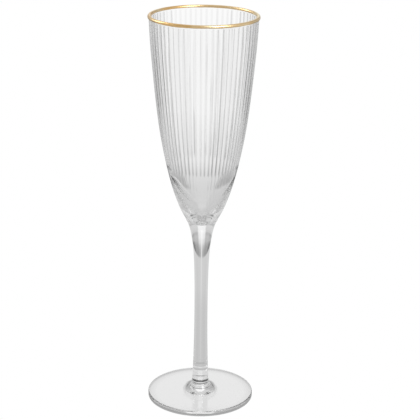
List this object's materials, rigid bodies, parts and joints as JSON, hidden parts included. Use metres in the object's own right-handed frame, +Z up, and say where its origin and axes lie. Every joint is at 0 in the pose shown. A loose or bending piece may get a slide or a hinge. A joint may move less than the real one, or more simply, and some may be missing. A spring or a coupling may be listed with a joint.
{
  "type": "champagne flute",
  "caption": "Tall stemmed champagne flute with a finely ribbed clear glass bowl, a gilded lip, a slim solid stem and a round foot.",
  "frame": {"origin": "centre of the foot's underside, on the table", "axes": "+Z up along the glass's axis, from the foot to the lip; the glass is round, so +X and +Y are free"},
  "size_m": [0.0654, 0.0654, 0.24],
  "materials": {
    "bowl_glass": "clear polished glass with fine vertical optic ribs",
    "gold": "thin fired-on gold, bright, slightly brushed by hand",
    "stem_glass": "clear fire-polished glass",
    "foot_glass": "clear fire-polished glass"
  },
  "bodies": {
    "root": {"bowl": "bowl_glass", "gold_rim": "gold", "stem": "stem_glass", "foot": "foot_glass"}
  },
  "joints": []
}
